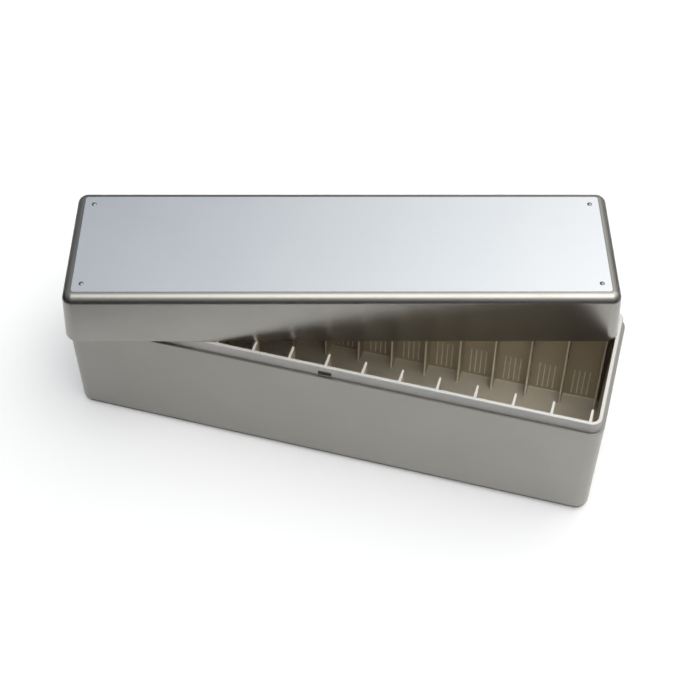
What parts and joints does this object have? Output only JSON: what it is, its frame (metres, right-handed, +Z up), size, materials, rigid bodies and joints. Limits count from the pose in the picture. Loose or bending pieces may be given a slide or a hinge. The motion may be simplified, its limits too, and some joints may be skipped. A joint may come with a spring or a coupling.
{
  "type": "coin slab storage box",
  "caption": "Long moulded box for upright graded-coin slabs: a ribbed tray with a lapped rim, and a lift-off lid with a riveted aluminium plate, laid askew on the rim.",
  "frame": {"origin": "middle of the tray's flat underside, at its lowest level", "axes": "+X along the tray's length, +Y across it to the back, +Z up; the lid lies turned 15.5 degrees about +Z on the tray's rim"},
  "size_m": [0.2704, 0.1385, 0.0943],
  "materials": {
    "tray_plastic": "satin silver-grey moulded plastic",
    "lid_plastic": "satin silver-grey moulded plastic",
    "plate_aluminium": "satin, fine-brushed sheet",
    "rivet_metal": "bright domed rivet"
  },
  "bodies": {
    "tray": {"base_tray": "tray_plastic"},
    "lid": {"lid_shell": "lid_plastic", "lid_plate": "plate_aluminium", "rivet_front_left": "rivet_metal", "rivet_front_right": "rivet_metal", "rivet_back_left": "rivet_metal", "rivet_back_right": "rivet_metal"}
  },
  "joints": [
    {"name": "lid_lift", "type": "slide", "parent": "tray", "child": "lid", "axis": [0, 0, 1], "range_m": [0, 0.12]}
  ]
}
